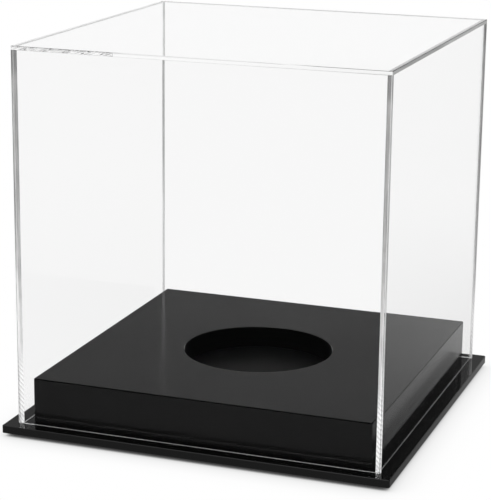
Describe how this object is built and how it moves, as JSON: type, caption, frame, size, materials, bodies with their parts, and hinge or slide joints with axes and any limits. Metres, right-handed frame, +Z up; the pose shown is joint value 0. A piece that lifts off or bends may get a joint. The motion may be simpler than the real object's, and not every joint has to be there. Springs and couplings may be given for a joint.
{
  "type": "basketball display case",
  "caption": "Clear cube cover that lifts off a black riser with a round recess for a ball, on a slightly larger black base plate with rubber feet.",
  "frame": {"origin": "on the floor, under the middle of the case", "axes": "+Z up, +Y towards the back, +X towards the right seen from the front"},
  "size_m": [0.32, 0.32, 0.3126],
  "materials": {
    "clear_acrylic": "clear, polished faces and polished cut edges",
    "black_acrylic": "high gloss, polished edges",
    "black_lacquer": "satin black lacquer over filled fibreboard",
    "screw_steel": "zinc plated",
    "foot_rubber": "matt black rubber"
  },
  "bodies": {
    "base": {"base_plate": "black_acrylic", "riser_lower_board": "black_lacquer", "riser_upper_board": "black_lacquer", "riser_screw_front_left": "screw_steel", "riser_screw_front_right": "screw_steel", "riser_screw_back_left": "screw_steel", "riser_screw_back_right": "screw_steel", "foot_front_left": "foot_rubber", "foot_front_right": "foot_rubber", "foot_back_left": "foot_rubber", "foot_back_right": "foot_rubber"},
    "cover": {"cover_front_panel": "clear_acrylic", "cover_back_panel": "clear_acrylic", "cover_left_panel": "clear_acrylic", "cover_right_panel": "clear_acrylic", "cover_top_panel": "clear_acrylic"}
  },
  "joints": [
    {"name": "cover_lift", "type": "slide", "parent": "base", "child": "cover", "axis": [0, 0, 1], "range_m": [0, 0.32]}
  ]
}
